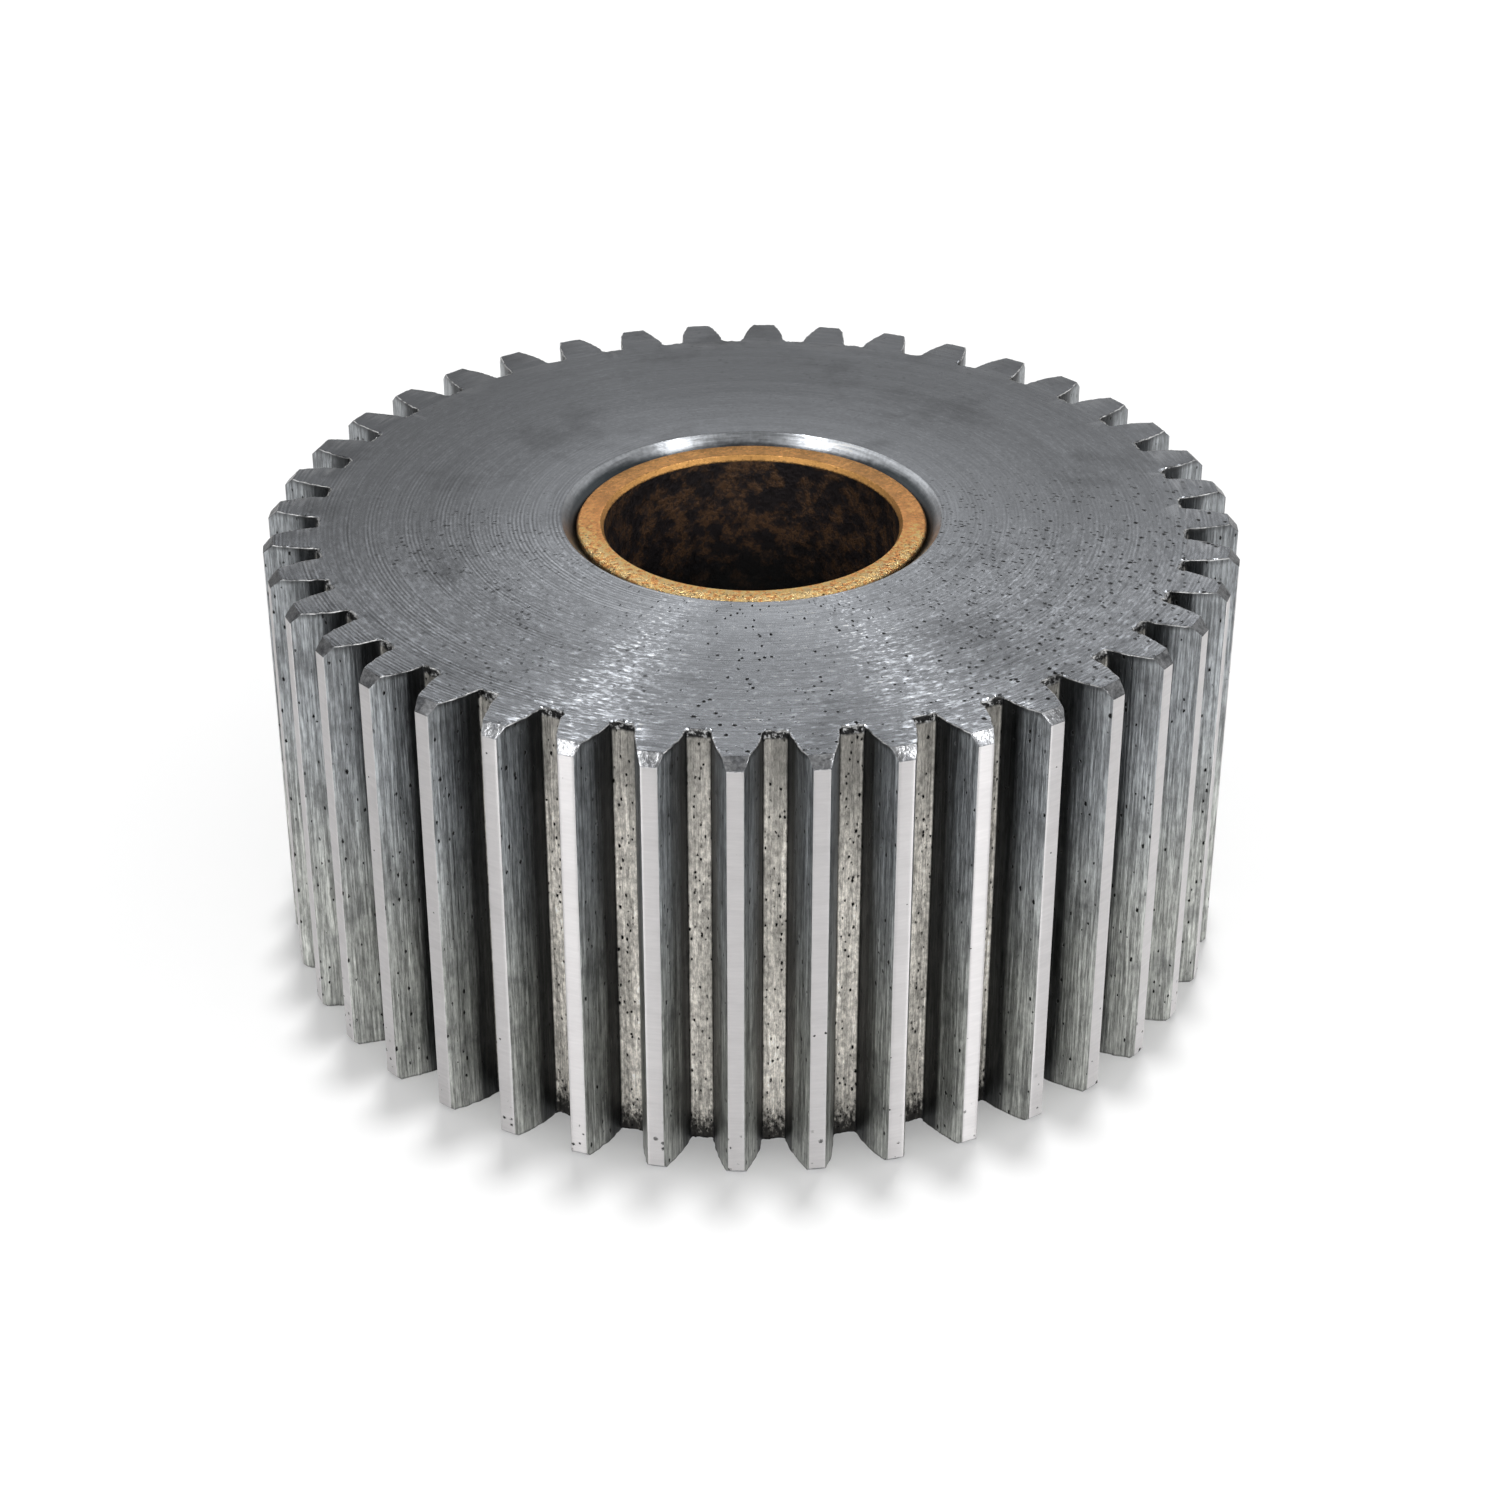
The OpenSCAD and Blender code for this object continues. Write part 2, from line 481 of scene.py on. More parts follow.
gear = {
    "teeth": 40,
    "pressureAngle": 20.0,      # degrees
    "gapDepth": 1.25,           # below the pitch circle, in modules
    "backlash": 0.1,            # how much thinner a tooth is at the pitch circle, in modules
    "rootFillet": 0.14,         # in modules
    "topChamfer": 1.1,          # mm, round the tips
    "bottomChamfer": 0.5,
    "boreChamfer": 1.6,
    "edgeBreak": 0.09,          # mm, size of the broken edges
    "breakStart": 0.41,         # of the edge break, where its rounding begins
    "breakMiddle": 0.29,        # of the edge break, how far its middle lies from both sides
    "burrHeight": 0.24,         # mm
    "burrSize": 0.85,           # mm
    "floorSteps": 7,
    "filletSteps": 6,
    "flankSteps": 13,
    "cornerSteps": 2,
    "landSteps": 3,
    "middleLevels": 3,
    "boreColumns": 8,           # columns of one tooth's share of the bore
    "webRing": 3.0,             # mm inside the gap floors, the first row of points on the face
    "faceRing": 12.0,           # the second row
    "boreRing": 1.0,            # mm outside the bore's chamfer, the third row
    "facePitch": 0.43,          # mm from one turned ring to the next
    "landPitch": 0.3,
    "borePitch": 0.2,
    "faceColour": (0.352, 0.367, 0.392),
    "faceRoughness": 0.26,
    "landColour": (0.7, 0.684, 0.685),
    "chamferColour": (0.33, 0.335, 0.345),
    "chamferGrime": (0.15, 0.155, 0.165),
    "flankHigh": (0.345, 0.362, 0.375),     # colour near the upper face
    "flankLow": (0.36, 0.368, 0.35),
    "floorDull": (0.48, 0.46, 0.42),        # the gap floor's two tones of cut steel
    "floorBright": (0.82, 0.782, 0.718),
    "floorGrime": (0.2, 0.19, 0.17),
    "floorHigh": (0.16, 0.157, 0.145),      # darker near the upper face
    "boreColour": (0.42, 0.437, 0.46),
    "boreDark": (0.015, 0.02, 0.023),       # painted shade in the groove next to the bush, with some dirt
}


def steelFace():
    material, tree, shader, place = startMaterial("turnedFace", brushed=1.0)
    radius, outward, x, y = place.radius, place.outward, place.x, place.y
    awayX, awayY = axes(tree, outward)[:2]
    grain = {"Across": radius, "Around": outward, "Pitch": gear["facePitch"]}
    rings, scratches, flecks, grit, bands = groupNode(tree, turnedGrain, grain)
    lined = remap(tree, y, 24.0, -10.0, 0.3, 1.0)    # the side away from -Y is smoother
    worn = times(tree, remap(tree, awayY, 0.2, -0.72, 0.28, 1.0), remap(tree, radius, 23.0, 34.0, 0.65, 1.0))
    # the ring marks are stronger towards the ±X sides: the real grooves, with painted shade where the light
    # shows them most
    sideways = remap(tree, maths(tree, "ABSOLUTE", awayX), 0.2, 0.7, 0.35, 1.0)
    rings = mixColour(tree, times(tree, sideways, lined), grey(0.5), rings)
    cut = timesPlus(tree, minus(tree, rings, 0.55), remap(tree, x, 10.0, -14.0, 0.3, 0.8), 1.0)
    lines = faded(tree, times(tree, slope(tree, scratches, 0.32, 0.68, 0.8, 1.16), cut), lined)
    dashes = combine(tree, z=times(tree, radius, 3.2))    # short marks along the rings
    speckle = noise(tree, vectorMaths(tree, "ADD", vectorScale(tree, outward, 58.0), dashes), 1.0, 2.0, 0.65)
    shade = times(
        tree,
        slope(tree, flecks, 0.32, 0.68, 0.86, 1.14),
        slope(tree, grit, 0.32, 0.68, 0.82, 1.18),
        slope(tree, speckle, 0.3, 0.7, 0.8, 1.2),
    )
    shade = times(tree, faded(tree, shade, worn), lines)
    # painted glints: the few grains that sparkle are painted brighter, and are rougher than the rest
    glint = times(tree, remap(tree, grit, 0.54, 0.64), remap(tree, speckle, 0.44, 0.6), worn)
    shade = times(
        tree,
        timesPlus(tree, glint, 0.36, shade),
        slope(tree, bands, 0.3, 0.7, 0.92, 1.08),
        slope(tree, radius, 34.0, 22.0, 1.0, 1.35),     # brighter towards the bore
        remap(tree, y, -45.0, 45.0, 1.36, 0.7),         # painted shade: darker away from -Y, where less light falls
        remap(tree, awayY, -0.7, -1.0, 1.0, 1.27),      # painted light: brighter in a wedge on -Y
        remap(tree, x, -44.0, -12.0, 0.64, 1.0),        # painted shade: darker on the -X side
    )
    smudge = timesPlus(tree, grimeMask(tree, place.position, 11.0, 0.55), -0.27, 1.0)
    colour = vectorScale(tree, gear["faceColour"], shade, smudge)

    # the pits are drawn out along the rings, and lie closer together in patches and on the +X side
    stretched = vectorMaths(tree, "ADD", vectorScale(tree, outward, 44.0), combine(tree, z=radius))
    leaning = vectorMaths(tree, "ADD", stretched, combine(tree, z=times(tree, awayY, 14.0)))
    few = times(tree, pitMask(tree, stretched, 1.25, 0.95, 0.27), remap(tree, x, -30.0, 0.0, 0.3, 1.0))
    patches = remap(tree, noise(tree, place.position, 0.06), 0.5, 0.6, 0.0, 0.7)
    crowd = maths(tree, "MAXIMUM", patches, remap(tree, x, 8.0, 24.0, 0.0, 0.85))
    many = times(tree, pitMask(tree, leaning, 0.92, 0.72, 0.36), crowd)
    pit = times(tree, maths(tree, "MAXIMUM", few, many), remap(tree, y, 16.0, 0.0, 0.14, 1.0))
    colour = mixColour(tree, pit, colour, grey(0.02))

    frosted = remap(tree, times(tree, plus(tree, flecks, grit, speckle), 0.333), 0.4, 0.6, -0.09, 0.095)
    rough = timesPlus(tree, frosted, worn, gear["faceRoughness"])
    rough = plus(tree, rough, remap(tree, y, -6.0, 14.0, 0.0, -0.07))
    rough = timesPlus(tree, glint, 0.12, rough)
    rough = plus(tree, rough, remap(tree, radius, 40.0, 24.0, 0.0, -0.05))
    relief = plus(tree, grit, timesPlus(tree, rings, 0.5, times(tree, scratches, 0.8)))
    relief = minus(tree, relief, times(tree, pit, 0.8))
    finish(tree, shader, colour, timesPlus(tree, pit, 0.3, rough), times(tree, relief, worn), 0.055)
    return material


def steelLand():
    material, tree, shader, place = startMaterial("turnedLand", brushed=1.0)
    position, height = place.position, place.height
    around = vectorScale(tree, position, 0.12)
    grain = groupNode(tree, turnedGrain, {"Across": height, "Around": around, "Pitch": gear["landPitch"]})
    scratches = grain["Scratches"]
    bands = slope(tree, grain["Bands"], 0.3, 0.7, 0.95, 1.04)
    shade = times(tree, slope(tree, scratches, 0.3, 0.7, 0.93, 1.05), bands)
    chips = times(tree, pitMask(tree, position, 0.85, 0.6, 0.36), remap(tree, height, 7.0, 2.5))
    pit = maths(tree, "MAXIMUM", pitMask(tree, position, 1.1, 0.12, 0.17), chips)
    colour = mixColour(tree, pit, vectorScale(tree, gear["landColour"], shade), grey(0.03))
    relief = minus(tree, times(tree, scratches, 0.5), pit)
    finish(tree, shader, colour, remap(tree, scratches, 0.3, 0.7, 0.49, 0.59), relief, 0.006)
    return material


def steelChamfer():
    material, tree, shader, place = startMaterial("tipChamfer", brushed=0.6)
    position = place.position
    smudge = grimeMask(tree, position, 1.6, 0.6)
    speckle = slope(tree, noise(tree, position, 2.6, 3.0, 0.7), 0.32, 0.68, 0.6, 1.35)
    # painted shade: the tip chamfers are darker towards the ±X sides
    paintedSideShade = remap(tree, maths(tree, "ABSOLUTE", place.x), 26.0, 34.0, 1.0, 0.35)
    colour = mixColour(tree, smudge, gear["chamferColour"], gear["chamferGrime"])
    colour = vectorScale(tree, colour, speckle, paintedSideShade)
    rough = remap(tree, smudge, 0.0, 1.0, 0.3, 0.42)
    finish(tree, shader, colour, rough, noise(tree, position, 3.0, 3.0), 0.05)
    return material


def steelFlank(size):
    material, tree, shader, place = startMaterial("cutFlank")
    position, height = place.position, place.height
    top, pitchRadius = size["width"], size["pitchRadius"]
    fine, coarse = groupNode(tree, cutStreaks, {"Position": position, "Stretch": 0.03})
    speckle = noise(tree, lengthwise(tree, position, 0.22), 2.4, 3.0, 0.7)
    shade = times(
        tree,
        slope(tree, fine, 0.34, 0.66, 0.56, 1.4),
        scored(tree, fine, 0.55),
        slope(tree, coarse, 0.34, 0.66, 0.74, 1.24),
        slope(tree, speckle, 0.32, 0.68, 0.66, 1.28),
        slope(tree, height, top - 1.0, 8.0, 0.8, 1.15),
    )
    tint = mixColour(tree, remap(tree, height, top - 9.0, 12.0), gear["flankHigh"], gear["flankLow"])
    wander = timesPlus(tree, minus(tree, coarse, 0.5), 2.0, place.radius)
    # painted shade deep in the gap towards the root, with some dirt
    towardsRoot = remap(tree, wander, pitchRadius + 0.2, pitchRadius - 1.6, 0.0, 0.9)
    burr = remap(tree, attribute(tree, "burr"), 0.15, 0.5, 0.0, 0.7)
    smudge = times(tree, grimeMask(tree, position, 5.0, 0.55), 0.5)
    pit = pitMask(tree, lengthwise(tree, position, 0.5), 0.8, 0.78, 0.235)
    colour = layered(
        tree, vectorScale(tree, tint, shade),
        (towardsRoot, grey(0.024, 0.08)),
        (burr, grey(0.04)),
        (smudge, grey(0.09, 0.03)),
        (pit, grey(0.015)),
        # painted highlight along the broken edges, partly bare metal
        (bareEdgeAndHighlight(tree, position), grey(0.7)),
    )
    relief = minus(tree, plus(tree, fine, times(tree, speckle, 0.5)), pit)
    finish(tree, shader, colour, remap(tree, coarse, 0.3, 0.7, 0.36, 0.52), relief, 0.06)
    return material


def steelFloor(size):
    material, tree, shader, place = startMaterial("gapFloor")
    position, height = place.position, place.height
    top, rootRadius = size["width"], size["rootRadius"]
    fine, coarse = groupNode(tree, cutStreaks, {"Position": position, "Stretch": 0.05})
    speckle = noise(tree, lengthwise(tree, position, 0.5), 2.6, 3.0, 0.7)
    lines = times(tree, slope(tree, fine, 0.32, 0.68, 0.66, 1.3), scored(tree, fine, 0.66))
    colour = mixColour(tree, remap(tree, coarse, 0.36, 0.64), gear["floorDull"], gear["floorBright"])
    colour = vectorScale(tree, colour, lines, slope(tree, speckle, 0.34, 0.66, 0.58, 1.32))
    smudge = times(tree, grimeMask(tree, position, 3.0, 0.5), 0.5)
    specks = remap(tree, noise(tree, position, 2.0, 3.0, 0.7), 0.5, 0.64)
    crumbs = mixColour(tree, specks, grey(0.018), grey(0.4))
    low = remap(tree, timesPlus(tree, speckle, 8.0, height), 8.6, 5.2, 0.0, 0.94)    # black at the foot
    uneven = timesPlus(tree, fine, 0.12, place.radius)
    # painted shade in the fillet corners beside the gap floor
    corner = remap(tree, uneven, rootRadius + 0.065, rootRadius + 0.205, 0.0, 0.94)
    pit = pitMask(tree, lengthwise(tree, position, 0.55), 0.56, 0.9, 0.29)
    colour = layered(
        tree, colour,
        (smudge, gear["floorGrime"]),
        (remap(tree, height, top - 15.0, top - 2.0, 0.0, 0.6), gear["floorHigh"]),
        (remap(tree, attribute(tree, "burr"), 0.1, 0.5), crumbs),
        (low, grey(0.015)),
        (corner, grey(0.03, 0.05)),
        (pit, grey(0.012)),
        # painted highlight along the broken edges, partly bare metal
        (bareEdgeAndHighlight(tree, position), grey(0.5)),
    )
    relief = minus(tree, plus(tree, fine, speckle), times(tree, pit, 1.5))
    finish(tree, shader, colour, remap(tree, fine, 0.3, 0.7, 0.4, 0.58), relief, 0.07)
    return material


def steelBoreChamfer(size):
    material, tree, shader, place = startMaterial("boreChamfer", brushed=0.5)
    radius, outward, bore = place.radius, place.outward, size["boreRadius"]
    grain = groupNode(tree, turnedGrain, {"Across": radius, "Around": outward, "Pitch": gear["borePitch"]})
    fibre = times(tree, grain["Scratches"], plus(tree, grain["Grit"], 0.5))
    sideways = remap(tree, maths(tree, "ABSOLUTE", axes(tree, outward)[0]), 0.45, 0.85)
    shade = times(
        tree,
        slope(tree, fibre, 0.3, 0.7, 0.65, 1.3),
        # painted shade: darker towards the ±X sides
        timesPlus(tree, sideways, -0.45, 1.0),
        # painted highlight: brighter on the +X side, where the lamp's gloss falls
        remap(tree, place.x, 1.0, 7.0, 1.0, 1.95),
    )
    ragged = timesPlus(tree, sideways, -0.4, timesPlus(tree, grain["Flecks"], 0.4, radius))
    colour = vectorScale(tree, gear["boreColour"], shade)
    # painted shade in the groove next to the bush, wider at the ±X sides, with some dirt
    nextToBush = remap(tree, ragged, bore + 1.2, bore + 0.4, 0.0, 0.92)
    colour = mixColour(tree, nextToBush, colour, gear["boreDark"])
    finish(tree, shader, colour, remap(tree, fibre, 0.3, 0.7, 0.28, 0.34), fibre, 0.02)
    return material


zones = {"face": 0, "land": 1, "chamfer": 2, "flank": 3, "floor": 4, "bore": 5}


def gearSizes():
    # every size in millimetres, from the frame and the gear's own proportions
    size = dict(gear)
    size["tipRadius"] = (gearHigh.x - gearLow.x) / 2 / mm
    size["width"] = (gearHigh.z - gearLow.z) / mm
    size["boreRadius"] = (bushHigh.x - bushLow.x) / 2 / mm
    size["module"] = size["tipRadius"] / (gear["teeth"] / 2 + 1)
    size["pitchRadius"] = size["module"] * gear["teeth"] / 2
    size["rootRadius"] = size["pitchRadius"] - gear["gapDepth"] * size["module"]
    size["baseRadius"] = size["pitchRadius"] * math.cos(math.radians(gear["pressureAngle"]))
    size["fillet"] = gear["rootFillet"] * size["module"]
    size["halfPitch"] = math.pi / gear["teeth"]
    thinning = gear["backlash"] * size["module"] / 2 / size["pitchRadius"]
    size["gapAtBase"] = size["halfPitch"] / 2 - involuteTurn(math.radians(gear["pressureAngle"])) + thinning
    return size


def involuteTurn(angle):
    return math.tan(angle) - angle


def halfTooth(size, radius, inset):
    # half the angle of the tooth at that radius, with its flanks moved in by inset
    pressure = math.acos(min(1.0, size["baseRadius"] / radius))
    return size["halfPitch"] - size["gapAtBase"] - involuteTurn(pressure) - inset / size["baseRadius"]


def polar(radius, angle):
    # the tooth's middle is on -Y
    return Vector((radius * math.sin(angle), -radius * math.cos(angle)))


def halfOutline(size, blankRadius, inset):
    # from the middle of the gap floor to the middle of the land, and what each step of the way is
    points, kinds = [], []
    bend = size["fillet"] + inset
    centreRadius = size["rootRadius"] + size["fillet"]
    centreAngle = halfTooth(size, centreRadius, 0) + size["fillet"] / size["baseRadius"]
    for i in range(size["floorSteps"]):
        share = i / size["floorSteps"]
        angle = size["halfPitch"] + (centreAngle - size["halfPitch"]) * share
        points.append(polar(size["rootRadius"] - inset, angle))
        kinds.append("floor")
    centre = polar(centreRadius, centreAngle)
    reach = math.sqrt(centreRadius ** 2 - size["baseRadius"] ** 2) - bend
    flankStart = math.hypot(size["baseRadius"], reach)
    first = polar(flankStart, halfTooth(size, flankStart, inset)) - centre
    downward = math.atan2(-centre.y, -centre.x)
    turn = (math.atan2(first.y, first.x) - downward + math.pi) % (2 * math.pi) - math.pi
    for i in range(size["filletSteps"]):
        angle = downward + turn * i / size["filletSteps"]
        points.append(centre + Vector((math.cos(angle), math.sin(angle))) * bend)
        kinds.append("fillet")
    breakSize = 0.6 * size["edgeBreak"]    # the flank's edge is broken less than the end's
    flankEnd = blankRadius - 0.9 * breakSize
    for i in range(size["flankSteps"]):
        radius = flankStart + (flankEnd - flankStart) * i / size["flankSteps"]
        points.append(polar(radius, halfTooth(size, radius, inset)))
        kinds.append("flank")
    landAngle = halfTooth(size, blankRadius, inset) - breakSize / blankRadius
    before = polar(flankEnd, halfTooth(size, flankEnd, inset))
    corner = polar(blankRadius, halfTooth(size, blankRadius, inset))
    after = polar(blankRadius, landAngle)
    for i in range(size["cornerSteps"]):
        t = i / size["cornerSteps"]
        points.append(before * (1 - t) ** 2 + corner * 2 * t * (1 - t) + after * t ** 2)
        kinds.append("corner")
    for i in range(size["landSteps"]):
        points.append(polar(blankRadius, landAngle * (1 - i / size["landSteps"])))
        kinds.append("land")
    points.append(polar(blankRadius, 0))
    return points, kinds


def wholeOutline(size, blankRadius, inset):
    # one tooth and half the gap on each side of it
    points, kinds = halfOutline(size, blankRadius, inset)
    mirrored = [Vector((-p.x, p.y)) for p in reversed(points[:-1])]
    return points + mirrored, kinds + kinds[::-1]


def hollowGap(size, points, lip):
    # the cutter's way out wears the gap floor's edge round
    reach = size["floorSteps"] + size["filletSteps"]
    for k in range(reach):
        drop = lip * min(1.0, (reach - k) / size["filletSteps"])
        points[k] -= points[k].normalized() * drop
        points[-1 - k] -= points[-1 - k].normalized() * drop


def endLevels(size, chamfer):
    # from the face inwards: depth, radius of the blank, how far the outline is moved in, edge, burr, lip
    tip, edge = size["tipRadius"], size["edgeBreak"]
    start, middle = size["breakStart"] * edge, size["breakMiddle"] * edge
    levels = [
        (0.0, tip - chamfer - 1.7 * edge, 2.3 * edge, 0.0, 0.0, 0.36),
        (0.0, tip - chamfer - start, edge, 1.0, 1.0, 0.3),
        (middle, tip - chamfer + middle, middle, 1.0, 0.7, 0.25),
        (edge, tip - chamfer + edge, 0.0, 0.4, 0.9, 0.18),
    ]
    for share, lip in ((0.25, 0.09), (0.45, 0.03), (0.68, 0.0)):
        levels.append((chamfer * share, tip - chamfer + chamfer * share, 0.0, 0.0, 1.05 - share, lip))
    levels.append((chamfer - 0.3 * edge, tip - 0.3 * edge, 0.0, 0.0, 0.0, 0.0))
    levels.append((chamfer + start, tip, 0.0, 0.0, 0.0, 0.0))
    return levels


def toothLevels(size):
    # the same for all the rows of points from the lower face to the upper one, with heights for depths
    bottom, top = endLevels(size, size["bottomChamfer"]), endLevels(size, size["topChamfer"])
    low, high, steps = bottom[-1][0], size["width"] - top[-1][0], size["middleLevels"] + 1
    heights = [low + (high - low) * i / steps for i in range(1, steps)]
    middle = [(z, size["tipRadius"], 0.0, 0.0, 0.0, 0.0) for z in heights]
    return bottom + middle + [(size["width"] - depth, *rest) for depth, *rest in reversed(top)]


def addLoop(shape, points, z, wear=None):
    # a row of points at one height, and how much of an edge and of a burr each of them has
    start = len(shape.vertices)
    shape.vertices += [(p.x * mm, p.y * mm, z * mm) for p in points]
    for edge, burr in wear or [(0.0, 0.0)] * len(points):
        shape.edges.append(edge)
        shape.burrs.append(burr)
    return list(range(start, len(shape.vertices)))


def addFace(shape, corners, zone):
    shape.faces.append(tuple(corners))
    shape.zones.append(zones[zone])


def addStrip(shape, lower, upper, zoneNames):
    for k, zone in enumerate(zoneNames):
        addFace(shape, (lower[k], upper[k], upper[k + 1], lower[k + 1]), zone)


def addSides(shape, size):
    # the floors, the flanks and the land, from the lower face's edge to the upper face's
    ragged = {"floor": 1.0, "fillet": 1.0, "flank": 0.5, "corner": 0.5, "land": 0.35}
    plain = {"floor": "floor", "fillet": "floor", "flank": "flank", "corner": "land", "land": "land"}
    loops = []
    for z, blankRadius, inset, edge, burr, lip in toothLevels(size):
        points, kinds = wholeOutline(size, blankRadius, inset)
        hollowGap(size, points, lip)
        wear = [(1.0 if kind == "corner" else edge, burr * ragged[kind]) for kind in kinds + kinds[-1:]]
        first = kinds.index("corner")
        wear[first] = (edge, wear[first][1])    # the flank's own last point isn't on the broken edge
        loops.append(addLoop(shape, points, z, wear))
    endRows = len(endLevels(size, size["topChamfer"]))
    for i in range(len(loops) - 1):
        fromEnd = min(i, len(loops) - 2 - i)
        names = [plain[kind] for kind in kinds]
        if fromEnd == 0:
            names = ["face"] * len(kinds)
        elif fromEnd < endRows - 1:
            names = ["chamfer" if name == "land" else name for name in names]
        addStrip(shape, loops[i], loops[i + 1], names)
    return loops


def addEnd(shape, size, loop, turned):
    # one end of the tooth, and its face inwards to the bore, whose row of points it gives back
    steps, columns, last = size["floorSteps"], size["boreColumns"], len(loop) - 1
    middle = last // 2
    bore, chamfer, edge = size["boreRadius"], size["boreChamfer"], size["edgeBreak"]
    start, halfway = size["breakStart"] * edge, size["breakMiddle"] * edge
    rings = [    # depth, radius and what the strip outside it is
        (0.0, size["rootRadius"] - size["webRing"], "face"),
        (0.0, size["rootRadius"] - size["faceRing"], "face"),
        (0.0, bore + chamfer + size["boreRing"], "face"),
        (0.0, bore + chamfer + start, "face"),
        (halfway, bore + chamfer - halfway, "bore"),
        (chamfer - 0.3 * edge, bore + 0.3 * edge, "bore"),
        (chamfer + start, bore, "bore"),
    ]

    def addFlat(corners):
        addFace(shape, reversed(corners) if turned else corners, "face")

    for i in range(steps, middle - 1):    # rungs across the tooth
        addFlat([loop[i], loop[i + 1], loop[last - i - 1], loop[last - i]])
    addFlat([loop[middle - 1], loop[middle], loop[middle + 1]])
    angles = [size["halfPitch"] * (1 - 2 * k / columns) for k in range(columns + 1)]
    arcs = []
    for depth, radius, _ in rings:
        z = size["width"] - depth if turned else depth
        arcs.append(addLoop(shape, [polar(radius, angle) for angle in angles], z))
    addFlat(loop[:steps + 1] + loop[last - steps:] + arcs[0][::-1])
    for outer, inner, ring in zip(arcs, arcs[1:], rings[1:]):
        lower, upper = (outer, inner) if turned else (inner, outer)
        addStrip(shape, lower, upper, [ring[2]] * columns)
    return arcs[-1]


def toothMesh(size):
    # the gear's share of one tooth, open at its two sides, from one gap's middle to the next
    shape = SimpleNamespace(vertices=[], edges=[], burrs=[], faces=[], zones=[])
    loops = addSides(shape, size)
    bottom = addEnd(shape, size, loops[0], False)
    top = addEnd(shape, size, loops[-1], True)
    addStrip(shape, top, bottom, ["bore"] * size["boreColumns"])
    mesh = bpy.data.meshes.new("oneTooth")
    mesh.from_pydata(shape.vertices, [], shape.faces)
    mesh.attributes.new("zone", "INT", "FACE").data.foreach_set("value", shape.zones)
    mesh.attributes.new("edge", "FLOAT", "POINT").data.foreach_set("value", shape.edges)
    mesh.attributes.new("burr", "FLOAT", "POINT").data.foreach_set("value", shape.burrs)
    return mesh


def makeToothRing(finishes):
    # repeats one tooth round the axis, joins the copies, ragged edges, then a finish for each zone
    inputs = [
        ("Geometry", "NodeSocketGeometry", None),
        ("Tooth Count", "NodeSocketInt", 40),
        ("Weld Distance", "NodeSocketFloat", 0.002 * mm),
        ("Burr Height", "NodeSocketFloat", 0.05 * mm),
        ("Burr Size", "NodeSocketFloat", 0.5 * mm),
        ("Middle Height", "NodeSocketFloat", 0.0),
        ("Smooth Angle", "NodeSocketFloat", math.radians(20)),
        ("Seed", "NodeSocketFloat", 3.0),
    ]
    inputs += [(name, "NodeSocketMaterial", None) for name in finishes]
    outputs = [("Geometry", "NodeSocketGeometry")]
    tree, given, result = makeGroup("toothRing", "GeometryNodeTree", inputs, outputs)
    places = addNode(tree, "GeometryNodePoints", {"Count": given["Tooth Count"]}).outputs[0]
    index = addNode(tree, "GeometryNodeInputIndex").outputs[0]
    turn = maths(tree, "DIVIDE", times(tree, index, 2 * math.pi), given["Tooth Count"])
    ring = addNode(tree, "GeometryNodeInstanceOnPoints", {
        "Points": places,
        "Instance": given["Geometry"],
        "Rotation": combine(tree, z=turn),
    }).outputs[0]
    ring = addNode(tree, "GeometryNodeRealizeInstances", {0: ring}).outputs[0]
    weld = {"Geometry": ring, "Distance": given["Weld Distance"]}
    ring = addNode(tree, "GeometryNodeMergeByDistance", weld).outputs[0]

    place = addNode(tree, "GeometryNodeInputPosition").outputs[0]
    scale = maths(tree, "DIVIDE", 1.0, given["Burr Size"])
    values = {"Vector": place, "W": given["Seed"], "Detail": 2.0, "Scale": scale}
    ragged = addNode(tree, "ShaderNodeTexNoise", values, noise_dimensions="4D").outputs["Color"]
    x, y, z = axes(tree, vectorMaths(tree, "SUBTRACT", ragged, (0.5, 0.5, 0.5)))
    inwards = maths(tree, "SIGN", minus(tree, given["Middle Height"], axes(tree, place)[2]))
    chip = times(tree, maths(tree, "ABSOLUTE", z), inwards)
    burr = addNode(tree, "GeometryNodeInputNamedAttribute", {"Name": "burr"}, data_type="FLOAT").outputs[0]
    height = times(tree, burr, given["Burr Height"], 4.0)
    offset = vectorScale(tree, combine(tree, x, y, chip), height)
    ring = addNode(tree, "GeometryNodeSetPosition", {"Geometry": ring, "Offset": offset}).outputs[0]

    bend = {0: addNode(tree, "GeometryNodeInputMeshEdgeAngle").outputs[0], 1: given["Smooth Angle"]}
    soft = addNode(tree, "FunctionNodeCompare", bend, data_type="FLOAT", operation="LESS_THAN").outputs[0]
    for shade, domain in ((True, "FACE"), (soft, "EDGE")):
        smooth = {"Geometry": ring, "Shade Smooth": shade}
        ring = addNode(tree, "GeometryNodeSetShadeSmooth", smooth, domain=domain).outputs[0]
    zone = addNode(tree, "GeometryNodeInputNamedAttribute", {"Name": "zone"}, data_type="INT").outputs[0]
    for name in finishes:
        match = {2: zone, 3: zones[name]}
        here = addNode(tree, "FunctionNodeCompare", match, data_type="INT", operation="EQUAL").outputs[0]
        dressed = {"Geometry": ring, "Selection": here, "Material": given[name]}
        ring = addNode(tree, "GeometryNodeSetMaterial", dressed).outputs[0]
    tree.links.new(ring, result["Geometry"])
    return tree


def runNodes(piece, tree, values):
    # applies a Geometry Nodes tree and leaves a plain mesh behind
    modifier = piece.modifiers.new(tree.name, "NODES")
    modifier.node_group = tree
    sockets = {item.name: item.identifier for item in tree.interface.items_tree if item.in_out == "INPUT"}
    for name, value in values.items():
        modifier[sockets[name]] = value
    graph = bpy.context.evaluated_depsgraph_get()
    graph.update()
    shaped = bpy.data.meshes.new_from_object(piece.evaluated_get(graph))
    piece.modifiers.remove(modifier)
    old = piece.data
    piece.data = shaped
    bpy.data.meshes.remove(old)
    shaped.name = piece.name


